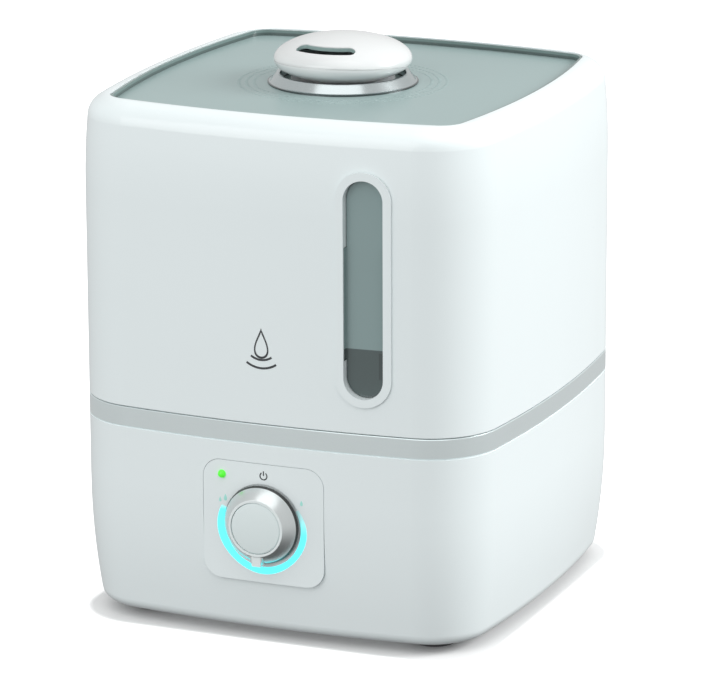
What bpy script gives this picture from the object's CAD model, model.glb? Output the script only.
"""Finishes, printed marks and studio for a cool mist humidifier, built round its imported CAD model.

The body is glossy white with a silver band. A smoke-grey lid carries a round mist nozzle, and the front
holds a level window and a knob inside a lit cyan arc. Everything is in metres: +Z is up, -Y is the front.
"""

from __future__ import annotations

import logging
import math
from dataclasses import dataclass, field
from enum import Enum
from typing import Any, Iterable, Sequence

import bmesh
import bpy
from mathutils import Matrix, Vector


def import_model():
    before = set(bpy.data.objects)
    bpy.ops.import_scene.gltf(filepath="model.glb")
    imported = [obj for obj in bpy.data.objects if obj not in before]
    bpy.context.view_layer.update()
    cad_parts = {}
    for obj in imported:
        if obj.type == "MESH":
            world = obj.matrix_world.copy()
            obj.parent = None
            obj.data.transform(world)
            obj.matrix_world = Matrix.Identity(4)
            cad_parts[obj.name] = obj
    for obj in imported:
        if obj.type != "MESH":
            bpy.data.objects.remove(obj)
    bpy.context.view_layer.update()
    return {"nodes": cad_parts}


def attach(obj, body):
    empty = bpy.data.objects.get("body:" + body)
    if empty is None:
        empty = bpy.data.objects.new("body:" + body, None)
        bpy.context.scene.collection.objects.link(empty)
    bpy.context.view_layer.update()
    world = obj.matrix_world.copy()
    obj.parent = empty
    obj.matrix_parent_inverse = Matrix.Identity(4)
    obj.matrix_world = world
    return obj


LOG = logging.getLogger("humidifier")
MM = 0.001
DRIFT_SCALE = 14.0  # features to the metre in a plastic's slow drift of colour
SHEEN_SCALE = 60.0  # and in its changes of gloss
PAINT_SHEEN_SCALE = 90.0  # and in those of paint and plating
PLASTIC_COAT_ROUGHNESS = 0.06
ARC_POINTS = 33
DROP_POINTS = 40
SMALL_DROP_POINTS = 20

Colour = tuple[float, float, float]
Pair = tuple[float, float]


# ---- shader building --------------------------------------------------------------------------
class Value:
    """A shader number that can be used in Python arithmetic; each operator adds a Math node."""

    def __init__(self, graph: "Graph", socket: bpy.types.NodeSocket) -> None:
        """Wraps a socket of a graph."""
        self.graph = graph
        self.socket = socket

    def _math(self, operation: str, *terms: "Value | float") -> "Value":
        """Adds one Math node.

        Args:
            operation: the node's operation, such as ADD.
            terms: the values of its inputs, in order.

        Returns:
            The node's result.
        """
        inputs = {index: term for index, term in enumerate(terms)}
        node = self.graph.add("ShaderNodeMath", {"operation": operation}, inputs)
        return Value(self.graph, node.outputs[0])

    def __add__(self, other: "Value | float") -> "Value":
        """self + other."""
        return self._math("ADD", self, other)

    def __radd__(self, other: float) -> "Value":
        """other + self."""
        return self._math("ADD", other, self)

    def __sub__(self, other: "Value | float") -> "Value":
        """self - other."""
        return self._math("SUBTRACT", self, other)

    def __rsub__(self, other: float) -> "Value":
        """other - self."""
        return self._math("SUBTRACT", other, self)

    def __mul__(self, other: "Value | float") -> "Value":
        """self * other."""
        return self._math("MULTIPLY", self, other)

    def __rmul__(self, other: float) -> "Value":
        """other * self."""
        return self._math("MULTIPLY", other, self)

    def __truediv__(self, other: "Value | float") -> "Value":
        """self / other."""
        return self._math("DIVIDE", self, other)

    def wrapped(self) -> "Value":
        """The part of self after the decimal point."""
        return self._math("FRACT", self)

    def above(self, least: float) -> "Value":
        """self, or least where self is lower."""
        return self._math("MAXIMUM", self, least)

    def root(self) -> "Value":
        """The square root of self."""
        return self._math("SQRT", self)

    def ramped(self, low: float, high: float) -> "Value":
        """A smooth ramp.

        Args:
            low: where self gives 0, as it does below.
            high: where self gives 1, as it does above.

        Returns:
            The ramp's value, from 0 to 1.
        """
        node = self.graph.add(
            "ShaderNodeMapRange",
            {"interpolation_type": "SMOOTHSTEP"},
            {"Value": self, "From Min": low, "From Max": high},
        )
        return Value(self.graph, node.outputs[0])

    def stepped(self, level: float, blur: float) -> "Value":
        """0 below a level and 1 above it, blurred over a distance to each side."""
        return self.ramped(level - blur, level + blur)


class Graph:
    """The node tree of one material."""

    def __init__(self, name: str) -> None:
        """Makes a material with a Principled surface."""
        self.material = bpy.data.materials.new(f"finish_{name}")
        self.material.use_nodes = True
        self.tree = self.material.node_tree
        self.surface = self.tree.nodes["Principled BSDF"]

    def add(self, kind: str, settings: dict[str, Any], inputs: dict[Any, Any]) -> bpy.types.Node:
        """Adds a node.

        Args:
            kind: the node's type.
            settings: its own properties, set first.
            inputs: a number, colour, socket or Value for each input, by name or index.

        Returns:
            The new node.
        """
        node = self.tree.nodes.new(kind)
        for key, setting in settings.items():
            setattr(node, key, setting)
        for key, given in inputs.items():
            self.feed(node.inputs[key], given)
        return node

    def feed(self, socket: bpy.types.NodeSocket, given: Any) -> None:
        """Links or sets one input.

        Args:
            socket: the input.
            given: a number, colour, socket or Value for it.
        """
        if isinstance(given, Value):
            given = given.socket
        if isinstance(given, bpy.types.NodeSocket):
            self.tree.links.new(given, socket)
        elif isinstance(given, (tuple, list)) and socket.type == "RGBA":
            socket.default_value = (*given[:3], 1.0)
        else:
            socket.default_value = given

    def surface_inputs(self, **inputs: Any) -> None:
        """Feeds inputs of the Principled surface, with _ for the spaces of their names."""
        for key, given in inputs.items():
            self.feed(self.surface.inputs[key.replace("_", " ")], given)

    def place(self) -> bpy.types.NodeSocket:
        """The piece's own coordinates, in metres."""
        return self.add("ShaderNodeTexCoord", {}, {}).outputs["Object"]

    def axes(self) -> tuple[Value, Value, Value]:
        """X, Y and Z of the piece's own coordinates."""
        node = self.add("ShaderNodeSeparateXYZ", {}, {0: self.place()})
        x, y, z = (Value(self, output) for output in node.outputs)
        return x, y, z

    def noise(self, scale: float, detail: float = 3.0, stretch: Sequence[float] = (1, 1, 1)) -> Value:
        """Smooth noise.

        Args:
            scale: its features to the metre.
            detail: how many finer layers it has.
            stretch: a factor on its scale along each axis.

        Returns:
            Its value, from 0 to 1.
        """
        mapped = self.add("ShaderNodeMapping", {}, {"Vector": self.place(), "Scale": tuple(stretch)})
        inputs = {"Vector": mapped.outputs[0], "Scale": scale, "Detail": detail}
        node = self.add("ShaderNodeTexNoise", {}, inputs)
        return Value(self, node.outputs[0])

    def blend(self, factor: Value | float, low: Any, high: Any) -> bpy.types.NodeSocket:
        """A colour between low and high."""
        node = self.add("ShaderNodeMix", {"data_type": "RGBA"}, {0: factor, 6: low, 7: high})
        return node.outputs[2]

    def mottled(self, pattern: Value, colour: Colour, shades: Pair) -> bpy.types.NodeSocket:
        """The colour, from its first shade to its second as the pattern rises."""
        return self.blend(pattern, shade(colour, shades[0]), shade(colour, shades[1]))

    def bump(self, height: Value, distance: float = 1.0) -> None:
        """Raises the surface by height times distance, in metres."""
        node = self.add("ShaderNodeBump", {}, {"Height": height, "Distance": distance, "Strength": 1.0})
        self.surface_inputs(Normal=node.outputs[0])


def shade(colour: Colour, factor: float) -> Colour:
    """The colour, lighter or darker by a factor."""
    return tuple(min(1.0, part * factor) for part in colour)


# ---- finishes ---------------------------------------------------------------------------------
@dataclass(frozen=True)
class MouldedPlastic:
    """Injection-moulded plastic: faint flow in the colour, a slight ripple, and a gloss that varies."""

    name: str
    colour: Colour
    roughness: float = 0.25
    gloss: float = 0.0
    flow: float = 0.008
    ripple: float = 0.0000012
    ripple_scale: float = 260.0
    texture: float = 0.0
    texture_scale: float = 2600.0
    sheen: float = 0.02

    def build(self) -> bpy.types.Material:
        """Makes the material."""
        graph = Graph(self.name)
        colour = graph.mottled(graph.noise(DRIFT_SCALE), self.colour, (1 - self.flow, 1 + self.flow))
        rough = self.roughness + (graph.noise(SHEEN_SCALE) - 0.5) * self.sheen
        height = graph.noise(self.ripple_scale, 1.0) * self.ripple
        if self.texture:
            height = height + graph.noise(self.texture_scale, 2.0) * self.texture
        graph.surface_inputs(
            Base_Color=colour, Roughness=rough, Coat_Weight=self.gloss, Coat_Roughness=PLASTIC_COAT_ROUGHNESS
        )
        graph.bump(height)
        return graph.material


@dataclass(frozen=True)
class SilverLacquer:
    """Metallic paint: fine flakes under a clear coat."""

    name: str
    colour: Colour
    roughness: float = 0.3
    metallic: float = 0.85
    coat: float = 0.35
    coat_roughness: float = 0.08
    shades: Pair = (0.93, 1.05)
    flake_scale: float = 5200.0
    flake_height: float = 0.000004
    sheen: float = 0.08

    def build(self) -> bpy.types.Material:
        """Makes the material."""
        graph = Graph(self.name)
        flakes = graph.noise(self.flake_scale, 1.0)
        rough = self.roughness + (graph.noise(PAINT_SHEEN_SCALE) - 0.5) * self.sheen
        graph.surface_inputs(
            Base_Color=graph.mottled(flakes, self.colour, self.shades),
            Metallic=self.metallic,
            Roughness=rough,
            Coat_Weight=self.coat,
            Coat_Roughness=self.coat_roughness,
        )
        graph.bump(flakes, self.flake_height)
        return graph.material


@dataclass(frozen=True)
class Metal:
    """Bare or plated metal with fine drawn lines along one axis, and dark below its foot level."""

    name: str
    colour: Colour
    roughness: float
    stretch: tuple[float, float, float] = (1.0, 1.0, 1.0)
    grain: float = 0.000002
    line_scale: float = 1800.0
    shades: Pair = (0.94, 1.04)
    foot_level: float = 0.0
    foot_blur: float = 0.15 * MM
    foot_shade: float = 0.22

    def build(self) -> bpy.types.Material:
        """Makes the material."""
        graph = Graph(self.name)
        lines = graph.noise(self.line_scale, 4.0, self.stretch)
        colour = graph.mottled(lines, self.colour, self.shades)
        if self.foot_level:
            foot = 1 - graph.axes()[2].stepped(self.foot_level, self.foot_blur)
            colour = graph.blend(foot, colour, shade(self.colour, self.foot_shade))
        rough = self.roughness + (lines - 0.5) * (self.roughness * 0.5)
        graph.surface_inputs(Base_Color=colour, Metallic=1.0, Roughness=rough)
        graph.bump(lines, self.grain)
        return graph.material


@dataclass(frozen=True)
class KnobPlating:
    """Bright plating on the knob's flank, with a dark rim at its foot and a white lip and pointer.

    A zone's pair of distances says where it starts and ends to fade: the rim's run forwards from the
    back plane, the lip's and the pointer root's outwards from the axis, the pointer's sideways from it.
    """

    name: str
    colour: Colour
    lip_colour: Colour
    rim_colour: Colour
    roughness: float = 0.3
    axis_z: float = 52.0 * MM
    back: float = -95.6 * MM
    rim: Pair = (2.08 * MM, 2.26 * MM)
    lip: Pair = (12.0 * MM, 12.25 * MM)
    pointer: Pair = (1.9 * MM, 2.1 * MM)
    pointer_root: Pair = (11.6 * MM, 12.1 * MM)
    metallic: float = 0.95
    white_roughness: float = 0.15
    coat: float = 0.2
    coat_roughness: float = 0.08
    shades: Pair = (0.96, 1.03)
    flake_scale: float = 4200.0
    flake_height: float = 0.000002
    sheen: float = 0.04

    def build(self) -> bpy.types.Material:
        """Makes the material."""
        graph = Graph(self.name)
        x, y, z = graph.axes()
        rise = z - self.axis_z
        away = (x * x + rise * rise).root()
        beside = (x * x).root()
        rim = 1 - (self.back - y).ramped(*self.rim)
        lip = 1 - away.ramped(*self.lip)
        pointer = (1 - beside.ramped(*self.pointer)) * (0 - rise).ramped(*self.pointer_root)
        white = lip + pointer - lip * pointer
        flakes = graph.noise(self.flake_scale, 1.0)
        plated = graph.mottled(flakes, self.colour, self.shades)
        sheen = (graph.noise(PAINT_SHEEN_SCALE) - 0.5) * self.sheen
        graph.surface_inputs(
            Base_Color=graph.blend(rim, graph.blend(white, plated, self.lip_colour), self.rim_colour),
            Metallic=(1 - white) * (1 - rim) * self.metallic,
            Roughness=self.roughness + white * self.white_roughness + sheen,
            Coat_Weight=self.coat,
            Coat_Roughness=self.coat_roughness,
        )
        graph.bump(flakes, self.flake_height)
        return graph.material


@dataclass(frozen=True)
class NozzleShell:
    """Glossy white outside; the cut walls of the outlet are the grey of the mist passage.

    The passage starts a little inside the head's pebble shape, and only in its upper part.
    """

    name: str
    colour: Colour
    passage: Colour
    roughness: float = 0.2
    centre: tuple[float, float, float] = (-3.0 * MM, -1.0 * MM, 229.4 * MM)
    radius: float = 29.2 * MM
    height: float = 10.6 * MM
    wall: Pair = (0.962, 0.982)
    upper: Pair = (2.0 * MM, 3.0 * MM)
    passage_roughness: float = 0.3
    gloss: float = 0.4
    shades: Pair = (0.992, 1.008)
    ripple: float = 0.0000012
    ripple_scale: float = 260.0
    sheen: float = 0.05

    def build(self) -> bpy.types.Material:
        """Makes the material."""
        graph = Graph(self.name)
        x, y, z = graph.axes()
        across, along, rise = x - self.centre[0], y - self.centre[1], z - self.centre[2]
        flat = (across * across + along * along) / self.radius**2
        depth = (flat + rise * rise / self.height**2).root()
        inside = (1 - depth.ramped(*self.wall)) * rise.ramped(*self.upper)
        white = graph.mottled(graph.noise(DRIFT_SCALE), self.colour, self.shades)
        sheen = (graph.noise(SHEEN_SCALE) - 0.5) * self.sheen
        graph.surface_inputs(
            Base_Color=graph.blend(inside, white, self.passage),
            Roughness=self.roughness + inside * self.passage_roughness + sheen,
            Coat_Weight=self.gloss,
            Coat_Roughness=PLASTIC_COAT_ROUGHNESS,
        )
        graph.bump(graph.noise(self.ripple_scale, 1.0), self.ripple)
        return graph.material


@dataclass(frozen=True)
class SmokeClear:
    """Smoke-grey plastic, glossy outside, deeper in colour where darker works lie behind it.

    The deep zone lies below deep_level and in front of deep_front. Its corner, given as the left side,
    the foot and the top, is darker still.
    """

    name: str
    colour: Colour
    roughness: float = 0.12
    gloss: float = 0.8
    coat_roughness: float = 0.05
    shades: Pair = (0.97, 1.03)
    drift_scale: float = 9.0
    ripple: float = 0.0000015
    ripple_scale: float = 180.0
    deep_level: float = 0.0
    deep_share: float = 0.45
    deep_front: float = 1.0
    corner: tuple[float, float, float] = (1.0, 0.0, 0.0)
    corner_share: float = 0.72
    wide_blur: float = 0.5 * MM
    level_blur: float = 0.25 * MM
    corner_blur: float = 0.2 * MM

    def build(self) -> bpy.types.Material:
        """Makes the material."""
        graph = Graph(self.name)
        colour = graph.mottled(graph.noise(self.drift_scale), self.colour, self.shades)
        if self.deep_level:
            x, y, z = graph.axes()
            front = 1 - y.stepped(self.deep_front, self.wide_blur)
            deep = (1 - z.stepped(self.deep_level, self.level_blur)) * front
            colour = graph.blend(deep, colour, shade(self.colour, self.deep_share))
            left, foot, top = self.corner
            block = x.stepped(left, self.corner_blur) * z.stepped(foot, self.wide_blur)
            block = block * (1 - z.stepped(top, self.corner_blur)) * front
            colour = graph.blend(block, colour, shade(self.colour, self.deep_share * self.corner_share))
        graph.surface_inputs(
            Base_Color=colour,
            Roughness=self.roughness,
            Coat_Weight=self.gloss,
            Coat_Roughness=self.coat_roughness,
            IOR=1.5,
        )
        graph.bump(graph.noise(self.ripple_scale, 1.0) * self.ripple)
        return graph.material


@dataclass(frozen=True)
class LitGuide:
    """A clear light guide, lit from behind; a long one fades from its low ends up, over a pair of heights."""

    name: str
    colour: Colour
    strength: float
    faded: Colour = (0.55, 0.86, 0.86)
    right_fade: Pair = (0.0, 0.0)
    left_fade: Pair = (0.0, 0.0)
    middle_blur: float = 1.0 * MM
    faded_glow: float = 0.12
    shades: Pair = (0.96, 1.04)
    cloud_scale: float = 220.0
    roughness: float = 0.3
    coat: float = 0.4

    def build(self) -> bpy.types.Material:
        """Makes the material."""
        graph = Graph(self.name)
        body = graph.mottled(graph.noise(self.cloud_scale), self.colour, self.shades)
        glow = body
        if self.right_fade[1]:
            x, _, z = graph.axes()
            right = x.stepped(0.0, self.middle_blur)
            fade = z.ramped(*self.right_fade) * right + z.ramped(*self.left_fade) * (1 - right)
            body = graph.blend(fade, body, self.faded)
            glow = graph.blend(fade, body, shade(self.faded, self.faded_glow))
        graph.surface_inputs(
            Base_Color=body,
            Roughness=self.roughness,
            Emission_Color=glow,
            Emission_Strength=self.strength,
            Coat_Weight=self.coat,
        )
        return graph.material


@dataclass(frozen=True)
class Rubber:
    """Soft matt rubber with a fine grain."""

    name: str
    colour: Colour
    roughness: float = 0.75
    shades: Pair = (0.85, 1.15)
    grain_scale: float = 1500.0
    grain_height: float = 0.00003
    sheen: float = 0.15

    def build(self) -> bpy.types.Material:
        """Makes the material."""
        graph = Graph(self.name)
        grain = graph.noise(self.grain_scale, 4.0)
        rough = self.roughness + (grain - 0.5) * self.sheen
        graph.surface_inputs(Base_Color=graph.mottled(grain, self.colour, self.shades), Roughness=rough)
        graph.bump(grain, self.grain_height)
        return graph.material


@dataclass(frozen=True)
class CircuitBoard:
    """Green solder mask over a faint pattern of copper tracks."""

    name: str
    colour: Colour
    track: float = 2.5 * MM
    track_edge: Pair = (0.55, 0.65)
    track_shade: float = 1.6
    track_height: float = 0.00003
    wander: float = 3.0
    wander_scale: float = 70.0
    roughness: float = 0.35
    coat: float = 0.3

    def build(self) -> bpy.types.Material:
        """Makes the material."""
        graph = Graph(self.name)
        x, _, z = graph.axes()
        wave = graph.noise(self.wander_scale, 0.0)
        copper = ((x + z) / self.track + wave * self.wander).wrapped().ramped(*self.track_edge)
        colour = graph.mottled(copper, self.colour, (1.0, self.track_shade))
        graph.surface_inputs(Base_Color=colour, Roughness=self.roughness, Coat_Weight=self.coat)
        graph.bump(copper, self.track_height)
        return graph.material


class Finish(Enum):
    """Every finish of the machine."""

    WHITE_GLOSS = MouldedPlastic("white_gloss", (0.85, 0.925, 0.935), 0.28, 0.3)
    WHITE_NOZZLE = NozzleShell("white_nozzle", (0.755, 0.775, 0.775), (0.28, 0.40, 0.385))
    WHITE_PLAIN = MouldedPlastic("white_plain", (0.74, 0.76, 0.77), 0.5, texture=0.00001)
    KNOB_FACE = MouldedPlastic("knob_face", (0.78, 0.87, 0.87), 0.38, texture=0.000005)
    BLACK_PLASTIC = MouldedPlastic("black_plastic", (0.03, 0.03, 0.033), 0.5, texture=0.000015)
    FERRITE = MouldedPlastic("ferrite", (0.09, 0.09, 0.1), 0.6, texture=0.00002)
    SILVER = SilverLacquer("silver_lacquer", (0.88, 0.99, 1.0))
    KNOB_SILVER = KnobPlating("knob_silver", (0.78, 0.83, 0.83), (0.84, 0.91, 0.91), (0.03, 0.035, 0.035))
    CHROME = Metal("chrome_plate", (0.61, 0.67, 0.68), 0.2, foot_level=220.1 * MM)
    STEEL = Metal("zinc_steel", (0.58, 0.59, 0.6), 0.32, (1.0, 1.0, 0.2))
    ALUMINIUM = Metal("aluminium", (0.72, 0.73, 0.74), 0.38, (0.1, 1.0, 1.0))
    COPPER = Metal("enamelled_copper", (0.72, 0.36, 0.18), 0.3)
    LID_SMOKE = SmokeClear("lid_smoke", (0.31, 0.415, 0.41), 0.34, 0.1)
    LID_EDGE = SmokeClear("lid_edge", (0.17, 0.24, 0.23), 0.3, 0.3, deep_level=220.7 * MM, deep_share=0.5)
    TANK_SMOKE = SmokeClear(
        "tank_smoke", (0.25, 0.345, 0.345), deep_level=129.8 * MM, deep_share=0.31, deep_front=-88.5 * MM,
        corner=(50.0 * MM, 117.5 * MM, 128.6 * MM),
    )
    CYAN_LIGHT = LitGuide(
        "cyan_light", (0.10, 0.86, 0.92), 0.9,
        right_fade=(48.0 * MM, 60.5 * MM), left_fade=(56.0 * MM, 58.8 * MM),
    )
    GREEN_LIGHT = LitGuide("green_light", (0.08, 0.80, 0.03), 0.5)
    FOOT_RUBBER = Rubber("foot_rubber", (0.06, 0.06, 0.065))
    SILICONE = Rubber("silicone", (0.55, 0.57, 0.57), 0.55)
    BOARD = CircuitBoard("solder_mask", (0.02, 0.16, 0.07))
    INK = MouldedPlastic("grey_ink", (0.05, 0.055, 0.06), 0.5, flow=0.05)
    PALE_INK = MouldedPlastic("pale_cyan_ink", (0.42, 0.86, 0.78), 0.5)

    @property
    def material(self) -> bpy.types.Material:
        """The finish's material, made when it is first wanted."""
        return bpy.data.materials.get(f"finish_{self.value.name}") or self.value.build()


def paint(piece: bpy.types.Object, finish: Finish) -> None:
    """Gives a piece one finish all over.

    Args:
        piece: the piece, with or without material slots.
        finish: the finish for every slot.
    """
    slots = piece.data.materials
    if not len(slots):
        slots.append(finish.material)
    for index in range(len(slots)):
        slots[index] = finish.material


# ---- mesh building ----------------------------------------------------------------------------
@dataclass
class Sketch:
    """Collects faces into one mesh."""

    name: str
    points: list[Vector] = field(default_factory=list)
    faces: list[tuple[int, ...]] = field(default_factory=list)

    def add(self, points: Iterable[Sequence[float]], faces: Iterable[Sequence[int]]) -> None:
        """Adds points and faces.

        Args:
            points: the new points.
            faces: faces whose indices count from the first new point.
        """
        start = len(self.points)
        self.points += [Vector(point) for point in points]
        self.faces += [tuple(start + index for index in face) for face in faces]

    def strip(self, lines: Sequence[Sequence[Vector]], closed: bool) -> None:
        """Joins neighbouring lines of equal length with quads.

        Args:
            lines: rows of points.
            closed: whether each row runs back to its first point.
        """
        count = len(lines[0])
        span = count if closed else count - 1
        faces = []
        for row in range(len(lines) - 1):
            for index in range(span):
                after = (index + 1) % count
                low, high = row * count, (row + 1) * count
                faces.append((low + index, low + after, high + after, high + index))
        self.add([point for line in lines for point in line], faces)

    def plate(self, outline: Sequence[Vector], depth: Vector) -> None:
        """A closed plate.

        Args:
            outline: the points round its face.
            depth: from its face to its back.
        """
        count = len(outline)
        back = [point + depth for point in outline]
        sides = [(i, (i + 1) % count, count + (i + 1) % count, count + i) for i in range(count)]
        self.add(list(outline) + back, [tuple(range(count))[::-1], tuple(range(count, 2 * count))] + sides)

    def ribbon(
        self, inner: Sequence[Vector], outer: Sequence[Vector], depth: Vector, closed: bool = False
    ) -> None:
        """A flat bar between two lines of points, with a thickness.

        Args:
            inner: the points of one edge.
            outer: as many points of the other edge.
            depth: from its face to its back.
            closed: whether the bar runs round to its start; otherwise its two ends are capped.
        """
        rows = [list(inner), list(outer), [p + depth for p in outer], [p + depth for p in inner], list(inner)]
        self.strip(rows, closed)
        if not closed:
            for index in (0, len(inner) - 1):
                ring = [row[index] for row in rows[:4]]
                self.add(ring, [(0, 1, 2, 3)])

    def finish(self, body: str, finish: Finish, slot: str, sharp_degrees: float = 35.0) -> bpy.types.Object:
        """Makes the object.

        Args:
            body: the CAD body that carries it.
            finish: its finish.
            slot: the record's material slot.
            sharp_degrees: edges sharper than this stay crisp.

        Returns:
            The finished object, at the origin.
        """
        mesh = bpy.data.meshes.new(self.name)
        mesh.from_pydata([tuple(point) for point in self.points], [], self.faces)
        work = bmesh.new()
        work.from_mesh(mesh)
        bmesh.ops.remove_doubles(work, verts=work.verts, dist=1e-7)
        bmesh.ops.recalc_face_normals(work, faces=work.faces)
        work.to_mesh(mesh)
        work.free()
        mesh.shade_smooth()
        mesh.set_sharp_from_angle(angle=math.radians(sharp_degrees))
        piece = bpy.data.objects.new(self.name, mesh)
        bpy.context.collection.objects.link(piece)
        paint(piece, finish)
        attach(piece, body)
        LOG.info("%s: %d faces on %s", self.name, len(mesh.polygons), body)
        return piece


def sweep(start: float, end: float, count: int) -> list[float]:
    """Evenly spaced numbers from start to end, both included."""
    return [start + (end - start) * index / (count - 1) for index in range(count)]


# ---- sub-assemblies ---------------------------------------------------------------------------
@dataclass
class Front:
    """The bowed front wall, which printed marks lie on."""

    half: float = 95.0 * MM
    bow: float = 565.0 * MM
    proud: float = 0.06 * MM

    def point(self, x: float, z: float, lift: float = 0.0) -> Vector:
        """The place on the front at x and z, lifted off it towards the viewer."""
        depth = self.bow - math.sqrt(self.bow**2 - x**2)
        return Vector((x, -self.half + depth - self.proud - lift, z))

    def lay(self, points: Iterable[tuple[float, float]]) -> list[Vector]:
        """Several places on the front."""
        return [self.point(x, z) for x, z in points]


@dataclass
class Markings:
    """The printed power sign, the scale's drops, and a plain drop and ripples as the maker's mark."""

    front: Front
    power_centre: Pair = (0.5 * MM, 72.5 * MM)
    power_radius: float = 1.55 * MM
    power_span: Pair = (125.0, 415.0)
    power_bar: Pair = (0.1 * MM, 2.1 * MM)
    stroke: float = 0.5 * MM
    scale_sizes: tuple[tuple[float, float, float], ...] = (
        (-16.9 * MM, 61.5 * MM, 3.0 * MM),
        (-19.3 * MM, 60.4 * MM, 2.2 * MM),
        (17.3 * MM, 62.7 * MM, 2.4 * MM),
    )
    drop_place: Pair = (0.0, 129.0 * MM)
    drop_height: float = 13.0 * MM
    drop_width: float = 0.36
    drop_taper: float = 1.6
    drop_hollow: float = 2.6 * MM
    drop_hollow_fall: float = 0.35 * MM
    ripple_rise: float = 1.0 * MM
    ripple_radii: Pair = (8.0 * MM, 11.5 * MM)
    ripple_span: Pair = (235.0, 305.0)
    ripple_stroke: float = 0.9 * MM
    depth: Vector = field(default_factory=lambda: Vector((0, 0.12 * MM, 0)))

    def arc(self, sketch: Sketch, centre: Pair, radius: float, span: Pair, stroke: float) -> None:
        """Adds one printed arc to a sketch.

        Args:
            sketch: what the arc is added to.
            centre: its centre's x and z.
            radius: its middle line's radius.
            span: where it starts and ends, in degrees anticlockwise from the right.
            stroke: its width.
        """
        inner, outer = [], []
        for degrees in sweep(*span, ARC_POINTS):
            cos, sin = math.cos(math.radians(degrees)), math.sin(math.radians(degrees))
            for line, offset in ((inner, -stroke / 2), (outer, stroke / 2)):
                line.append((centre[0] + (radius + offset) * cos, centre[1] + (radius + offset) * sin))
        sketch.ribbon(self.front.lay(inner), self.front.lay(outer), self.depth)

    def power_sign(self) -> None:
        """The usual standby sign: an open ring with a stroke at its top."""
        sketch = Sketch("power_sign")
        x, z = self.power_centre
        self.arc(sketch, self.power_centre, self.power_radius, self.power_span, self.stroke)
        half = self.stroke / 2
        foot, top = (z + rise for rise in self.power_bar)
        bar = [(x - half, foot), (x + half, foot), (x + half, top), (x - half, top)]
        sketch.plate(self.front.lay(bar), self.depth)
        sketch.finish("base", Finish.INK, "black_plastic")

    def drop_outline(self, centre: Pair, height: float, count: int = DROP_POINTS) -> list[Pair]:
        """A drop with a round foot and a pointed top.

        Args:
            centre: the x and z of its middle.
            height: its whole height.
            count: how many points it has.

        Returns:
            The x and z of each point round it.
        """
        points = []
        for degrees in sweep(0, 360, count + 1)[:-1]:
            angle = math.radians(degrees)
            taper = math.sin(angle / 2) ** self.drop_taper
            x = centre[0] + self.drop_width * height * math.sin(angle) * taper
            points.append((x, centre[1] + height / 2 * math.cos(angle)))
        return points

    def scale_drops(self) -> None:
        """Small drops at the ends of the lit arc: two for much mist, one for little."""
        sketch = Sketch("scale_drops")
        for x, z, height in self.scale_sizes:
            outline = self.drop_outline((x, z), height, SMALL_DROP_POINTS)
            sketch.plate(self.front.lay(outline), self.depth)
        sketch.finish("base", Finish.PALE_INK, "light_cyan")

    def maker_mark(self) -> None:
        """A drop over two ripples, in grey."""
        sketch = Sketch("mist_mark")
        x, z = self.drop_place
        outer = self.drop_outline((x, z), self.drop_height)
        inner = self.drop_outline((x, z - self.drop_hollow_fall), self.drop_height - self.drop_hollow)
        sketch.ribbon(self.front.lay(inner), self.front.lay(outer), self.depth, closed=True)
        for radius in self.ripple_radii:
            self.arc(sketch, (x, z + self.ripple_rise), radius, self.ripple_span, self.ripple_stroke)
        sketch.finish("tank", Finish.INK, "black_plastic")

    def build(self) -> None:
        """Prints every mark."""
        self.power_sign()
        self.scale_drops()
        self.maker_mark()


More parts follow.
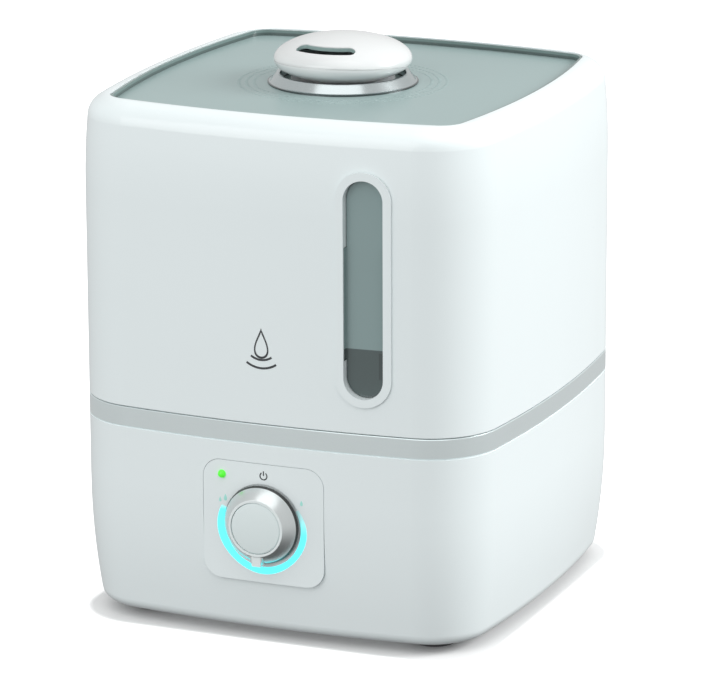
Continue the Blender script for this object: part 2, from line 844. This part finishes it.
@dataclass
class LidTrim:
    """What the lid shows besides its face: the tinted lip round it, and rings of moulded pips."""

    half: float = 84.0 * MM
    side_radius: float = 415.0 * MM
    corner_radius: float = 10.0 * MM
    face: float = 219.4 * MM
    lip_top: float = 221.85 * MM
    lip_clearance: float = 0.2 * MM
    lip_thickness: float = 1.1 * MM
    lip_gap: float = 0.02 * MM
    centre: tuple[float, float] = (-3.0 * MM, -1.0 * MM)
    first_ring: float = 37.5 * MM
    ring_pitch: float = 3.2 * MM
    rings: int = 3
    pip_pitch: float = 2.6 * MM
    pip_radius: float = 0.8 * MM
    pip_height: float = 0.14 * MM
    pip_segments: int = 10
    pip_rings: int = 6

    def outline(self, inset: float, z: float, steps: int = 14) -> list[Vector]:
        """The lid's plan, a rounded square whose sides bow outwards.

        Args:
            inset: how far inside the casing's opening it runs.
            z: its height.
            steps: points on each of its eight arcs.

        Returns:
            The closed line's points, anticlockwise.
        """
        reach = self.side_radius - self.half
        inner = self.side_radius - self.corner_radius
        corner = (math.sqrt(2 * inner**2 - reach**2) - reach) / 2
        spread = math.atan2(corner, corner + reach)
        points = []
        for quarter in range(4):
            facing = quarter * math.pi / 2 - math.pi / 2
            diagonal = facing + math.pi / 4
            side = (-reach, facing, self.side_radius, facing - spread, 2 * spread)
            bend = (
                corner * math.sqrt(2), diagonal, self.corner_radius, facing + spread, math.pi / 2 - 2 * spread
            )
            for shift, way, radius, start, turn in (side, bend):
                x, y = shift * math.cos(way), shift * math.sin(way)
                for index in range(steps):
                    angle = start + turn * index / steps
                    length = radius - inset
                    points.append(Vector((x + length * math.cos(angle), y + length * math.sin(angle), z)))
        return points

    def lip(self) -> None:
        """The upstanding lip between the lid's face and the casing."""
        sketch = Sketch("lid_lip")
        outer = self.outline(self.lip_clearance, self.lip_top)
        inner = self.outline(self.lip_clearance + self.lip_thickness, self.lip_top)
        depth = Vector((0, 0, self.face + self.lip_gap - self.lip_top))
        sketch.ribbon(inner, outer, depth, closed=True)
        sketch.finish("tank", Finish.LID_EDGE, "tinted_clear")

    def pip_tree(self) -> bpy.types.NodeTree:
        """Geometry nodes that set small domes in rings about one point.

        Returns:
            The tree, with its sizes as named inputs.
        """
        tree = bpy.data.node_groups.new("pip_rings", "GeometryNodeTree")
        face = tree.interface
        face.new_socket(name="Geometry", in_out="OUTPUT", socket_type="NodeSocketGeometry")
        for name in ("First Ring", "Ring Pitch", "Pip Pitch", "Pip Radius", "Pip Height"):
            face.new_socket(name=name, in_out="INPUT", socket_type="NodeSocketFloat")
        face.new_socket(name="Centre", in_out="INPUT", socket_type="NodeSocketVector")
        face.new_socket(name="Finish", in_out="INPUT", socket_type="NodeSocketMaterial")
        given = tree.nodes.new("NodeGroupInput").outputs

        def put(kind: str, settings: dict[str, Any], inputs: dict[Any, Any]) -> bpy.types.Node:
            """Adds a node and links or sets its inputs."""
            node = tree.nodes.new(kind)
            for key, setting in settings.items():
                setattr(node, key, setting)
            for key, value in inputs.items():
                if isinstance(value, bpy.types.NodeSocket):
                    tree.links.new(value, node.inputs[key])
                else:
                    node.inputs[key].default_value = value
            return node

        def reckon(operation: str, *terms: Any) -> bpy.types.NodeSocket:
            """Adds a Math node and gives its result."""
            return put("ShaderNodeMath", {"operation": operation}, dict(enumerate(terms))).outputs[0]

        dome = put(
            "GeometryNodeMeshUVSphere", {},
            {"Segments": self.pip_segments, "Rings": self.pip_rings, "Radius": given["Pip Radius"]},
        )
        flatness = reckon("DIVIDE", given["Pip Height"], given["Pip Radius"])
        scale = put("ShaderNodeCombineXYZ", {}, {0: 1.0, 1: 1.0, 2: flatness})
        joined = tree.nodes.new("GeometryNodeJoinGeometry")
        for ring in range(self.rings):
            radius = reckon("MULTIPLY_ADD", given["Ring Pitch"], float(ring), given["First Ring"])
            count = reckon("DIVIDE", reckon("MULTIPLY", radius, math.tau), given["Pip Pitch"])
            circle = put("GeometryNodeMeshCircle", {}, {"Vertices": count, "Radius": radius})
            set_out = put(
                "GeometryNodeInstanceOnPoints", {},
                {"Points": circle.outputs[0], "Instance": dome.outputs[0], "Scale": scale.outputs[0]},
            )
            tree.links.new(set_out.outputs[0], joined.inputs[0])
        whole = put("GeometryNodeRealizeInstances", {}, {0: joined.outputs[0]})
        moved = put(
            "GeometryNodeTransform", {}, {"Geometry": whole.outputs[0], "Translation": given["Centre"]}
        )
        smooth = put("GeometryNodeSetShadeSmooth", {}, {0: moved.outputs[0]})
        dressed = put(
            "GeometryNodeSetMaterial", {}, {"Geometry": smooth.outputs[0], "Material": given["Finish"]}
        )
        put("NodeGroupOutput", {}, {0: dressed.outputs[0]})
        return tree

    def pips(self) -> None:
        """Rings of low moulded pips round the collar."""
        tree = self.pip_tree()
        source = bpy.data.objects.new("pip_source", bpy.data.meshes.new("pip_source"))
        bpy.context.collection.objects.link(source)
        rings = source.modifiers.new("pips", "NODES")
        rings.node_group = tree
        sizes = {
            "First Ring": self.first_ring, "Ring Pitch": self.ring_pitch, "Pip Pitch": self.pip_pitch,
            "Pip Radius": self.pip_radius, "Pip Height": self.pip_height,
            "Centre": (*self.centre, self.face), "Finish": Finish.LID_SMOKE.material,
        }
        for socket in tree.interface.items_tree:
            if socket.name in sizes:
                rings[socket.identifier] = sizes[socket.name]
        bpy.context.view_layer.update()
        made = source.evaluated_get(bpy.context.evaluated_depsgraph_get())
        mesh = bpy.data.meshes.new_from_object(made)
        mesh.name = "lid_pips"
        bpy.data.objects.remove(source)
        piece = bpy.data.objects.new("lid_pips", mesh)
        bpy.context.collection.objects.link(piece)
        paint(piece, Finish.LID_SMOKE)
        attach(piece, "tank")
        LOG.info("lid_pips: %d faces on tank", len(mesh.polygons))

    def build(self) -> None:
        """Makes the lip and the pips."""
        self.lip()
        self.pips()


@dataclass
class Machine:
    """The CAD nodes that show or are seen in poses, with their finishes."""

    finishes: dict[Finish, tuple[str, ...]] = field(default_factory=lambda: {
        Finish.WHITE_GLOSS: ("base_shell", "tank_casing", "window_bezel", "control_panel"),
        Finish.WHITE_NOZZLE: ("nozzle_base", "nozzle_cap"),
        Finish.WHITE_PLAIN: (
            "bottom_plate", "water_basin", "valve_pin", "air_hood", "float_clip", "fan_duct", "float_ring",
            "tank_cap", "valve_cage", "valve_plunger", "splash_guard", "nozzle_sleeve",
        ),
        Finish.KNOB_FACE: ("knob_cap",),
        Finish.KNOB_SILVER: ("knob_skirt",),
        Finish.SILVER: ("trim_band",),
        Finish.CHROME: ("nozzle_collar",),
        Finish.LID_SMOKE: ("tank_lid",),
        Finish.TANK_SMOKE: ("water_tank", "mist_tube"),
        Finish.CYAN_LIGHT: ("light_ring",),
        Finish.GREEN_LIGHT: ("power_led",),
        Finish.FOOT_RUBBER: ("foot_front_left", "foot_front_right", "foot_back_left", "foot_back_right"),
        Finish.SILICONE: ("transducer_seal", "cap_gasket", "valve_washer", "nozzle_oring"),
        Finish.STEEL: (
            "base_screws", "transducer_screws", "fan_screws", "control_board_screws", "power_board_screws",
            "fan_shaft", "valve_spring", "transducer_disc", "control_shaft",
        ),
        Finish.ALUMINIUM: ("heat_sink", "transducer_retainer"),
        Finish.COPPER: ("fan_stator",),
        Finish.FERRITE: ("transformer", "float_magnet"),
        Finish.BOARD: ("control_board", "power_board"),
        Finish.BLACK_PLASTIC: (
            "fan_frame", "fan_rotor", "potentiometer", "level_switch", "capacitors", "cable_gland",
            "gland_nut",
        ),
    })

    def build(self, nodes: dict[str, bpy.types.Object]) -> None:
        """Paints every node.

        Args:
            nodes: the frame's CAD objects by name.
        """
        painted: set[str] = set()
        for finish, names in self.finishes.items():
            for name in names:
                paint(nodes[name], finish)
                painted.add(name)
        for name in sorted(set(nodes) - painted):
            LOG.warning("%s has no finish", name)


@dataclass(frozen=True)
class SoftLight:
    """A round area light."""

    name: str
    place: tuple[float, float, float]
    size: float
    power: float

    def build(self, target: Vector) -> None:
        """Sets the light up.

        Args:
            target: the place it faces.
        """
        lamp = bpy.data.lights.new(self.name, "AREA")
        lamp.shape = "DISK"
        lamp.size = self.size
        lamp.energy = self.power
        piece = bpy.data.objects.new(self.name, lamp)
        piece.location = self.place
        piece.rotation_mode = "QUATERNION"
        piece.rotation_quaternion = (target - Vector(self.place)).to_track_quat("-Z", "Y")
        bpy.context.collection.objects.link(piece)


@dataclass
class Studio:
    """A pale floor under a soft sky, three area lights, and the camera."""

    lights: tuple[SoftLight, ...] = (
        SoftLight("key_light", (2.0, 0.75, 1.2), 1.2, 42.0),
        SoftLight("front_light", (-1.0, -2.6, 1.4), 2.4, 27.0),
        SoftLight("top_light", (0.2, -1.0, 2.3), 2.4, 11.0),
    )
    light_target: tuple[float, float, float] = (0.0, 0.0, 0.12)
    floor_colour: Colour = (0.95, 0.955, 0.955)
    floor_glow: float = 0.7
    floor_roughness: float = 0.6
    footprint: float = 94.0 * MM
    footprint_corner: float = 29.0 * MM
    footprint_fade: Pair = (-4.0 * MM, 1.0 * MM)
    sky_levels: tuple[float, float, float, float] = (-0.95, 0.0, 0.10, 0.64)
    reach: float = 6.0
    azimuth: float = 22.855
    elevation: float = 15.243
    roll: float = -0.23
    distance: float = 1.997565
    aim: tuple[float, float, float] = (0.001, 0.001, 0.103004)
    lens: float = 233.624
    sensor: float = 36.0
    shift: Pair = (0.00724, 0.00592)
    clip: float = 50.0

    def floor(self) -> None:
        """One flat sheet that glows, except under the machine."""
        mesh = bpy.data.meshes.new("floor")
        reach = self.reach
        sheet = [(-reach, -reach, 0), (reach, -reach, 0), (reach, reach, 0), (-reach, reach, 0)]
        mesh.from_pydata(sheet, [], [(0, 1, 2, 3)])
        piece = bpy.data.objects.new("floor", mesh)
        bpy.context.collection.objects.link(piece)
        graph = Graph("floor_paper")
        x, y, _ = graph.axes()
        flat = self.footprint - self.footprint_corner
        beyond_x = ((x * x).root() - flat).above(0.0)
        beyond_y = ((y * y).root() - flat).above(0.0)
        away = (beyond_x * beyond_x + beyond_y * beyond_y).root() - self.footprint_corner
        clear = away.ramped(*self.footprint_fade)
        graph.surface_inputs(
            Base_Color=self.floor_colour,
            Roughness=self.floor_roughness,
            Emission_Color=graph.blend(clear, (0.0, 0.0, 0.0), (1.0, 1.0, 1.0)),
            Emission_Strength=self.floor_glow,
        )
        mesh.materials.append(graph.material)
        piece.visible_diffuse = False
        piece.visible_glossy = False

    def sky(self) -> None:
        """Soft light from all round, brighter from above than from below."""
        world = bpy.data.worlds.new("studio")
        world.use_nodes = True
        tree = world.node_tree
        place = tree.nodes.new("ShaderNodeTexCoord")
        split = tree.nodes.new("ShaderNodeSeparateXYZ")
        tree.links.new(place.outputs["Generated"], split.inputs[0])
        rise = tree.nodes.new("ShaderNodeMapRange")
        rise.interpolation_type = "SMOOTHSTEP"
        tree.links.new(split.outputs[2], rise.inputs["Value"])
        low, high, below, above = self.sky_levels
        for name, number in (("From Min", low), ("From Max", high), ("To Min", below), ("To Max", above)):
            rise.inputs[name].default_value = number
        background = tree.nodes["Background"]
        background.inputs[0].default_value = (1.0, 1.0, 1.0, 1.0)
        tree.links.new(rise.outputs[0], background.inputs[1])
        bpy.context.scene.world = world

    def camera(self) -> None:
        """The camera, at the object's usual three-quarter view from the front right."""
        around, above = math.radians(self.azimuth), math.radians(self.elevation)
        level = Vector((math.sin(around), -math.cos(around), 0))
        back = level * math.cos(above) + Vector((0, 0, math.sin(above)))
        right = Vector((math.cos(around), math.sin(around), 0))
        up = back.cross(right)
        turn = math.radians(self.roll)
        rolled_right = right * math.cos(turn) + up * math.sin(turn)
        rolled_up = up * math.cos(turn) - right * math.sin(turn)
        data = bpy.data.cameras.new("camera")
        data.sensor_width = self.sensor
        data.lens = self.lens
        data.shift_x, data.shift_y = self.shift
        data.clip_end = self.clip
        piece = bpy.data.objects.new("camera", data)
        columns = Matrix((rolled_right, rolled_up, back)).transposed()
        piece.matrix_world = Matrix.Translation(Vector(self.aim) + back * self.distance) @ columns.to_4x4()
        bpy.context.collection.objects.link(piece)
        bpy.context.scene.camera = piece

    def build(self) -> None:
        """Sets up the studio."""
        self.floor()
        self.sky()
        for light in self.lights:
            light.build(Vector(self.light_target))
        bpy.context.scene.view_settings.view_transform = "Standard"
        self.camera()


def main() -> None:
    """Builds the finishes, the marks and the studio round the CAD frame."""
    logging.basicConfig(level=logging.INFO, format="%(name)s %(message)s")
    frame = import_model()
    Studio().build()
    Machine().build(frame["nodes"])
    LidTrim().build()
    Markings(Front()).build()


if __name__ == "__main__":
    main()
